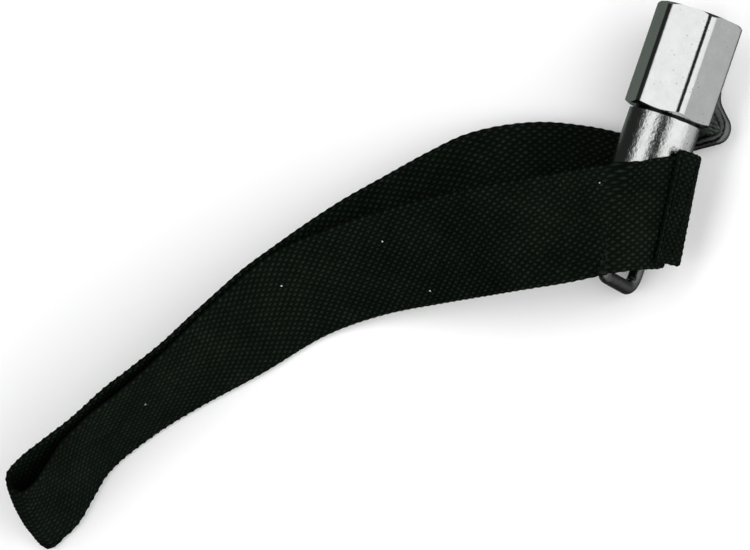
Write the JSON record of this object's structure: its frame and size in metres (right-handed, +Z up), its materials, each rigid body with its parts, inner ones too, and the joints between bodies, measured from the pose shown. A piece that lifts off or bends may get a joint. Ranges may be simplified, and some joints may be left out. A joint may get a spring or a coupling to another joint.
{
  "type": "oil filter strap wrench",
  "caption": "Strap wrench for oil filters: hex drive head with square socket on a round shaft, bent keeper rod, endless woven strap.",
  "frame": {"origin": "on the table, under the middle of the whole tool as it lies", "axes": "+Z up, +Y along the shaft axis and out of the square socket, the strap runs off to -X and -Y"},
  "size_m": [0.1742, 0.2077, 0.0363],
  "materials": {
    "chromed_hex": "bright plated, forged and machined",
    "chromed_shaft": "plated over a rough turned surface",
    "keeper_steel": "plated round rod",
    "weld_metal": "plated weld bead",
    "black_webbing": "coarse plain-woven webbing",
    "black_thread": "bonded sewing thread"
  },
  "bodies": {
    "strap_near": {"strap_upper_ply": "black_webbing", "strap_wrap": "black_webbing", "strap_lower_ply": "black_webbing", "seam_stitch_row_1": "black_thread", "seam_stitch_row_2": "black_thread", "seam_stitch_row_3": "black_thread"},
    "head": {"drive_hex": "chromed_hex", "shaft": "chromed_shaft", "keeper_rod": "keeper_steel", "keeper_weld_upper": "weld_metal", "keeper_weld_lower": "weld_metal"},
    "strap_middle": {"strap_middle_upper": "black_webbing", "strap_middle_lower": "black_webbing"},
    "strap_end": {"strap_end_upper": "black_webbing", "strap_end_lower": "black_webbing"}
  },
  "joints": [
    {"name": "head_free_turn", "type": "hinge", "parent": "strap_near", "child": "head", "pos_m": [0.0699, 0.0472, 0.0184], "axis": [0, 1, 0], "range_deg": [-20, 12]},
    {"name": "strap_flex_near", "type": "hinge", "parent": "strap_near", "child": "strap_middle", "pos_m": [-0.03133, -0.01717, 0.01354], "axis": [0.4074, -0.4932, -0.7686], "range_deg": [-22, 22]},
    {"name": "strap_flex_far", "type": "hinge", "parent": "strap_middle", "child": "strap_end", "pos_m": [-0.05585, -0.0503, 0.01655], "axis": [0.0593, -0.2918, -0.9546], "range_deg": [-22, 22]}
  ]
}
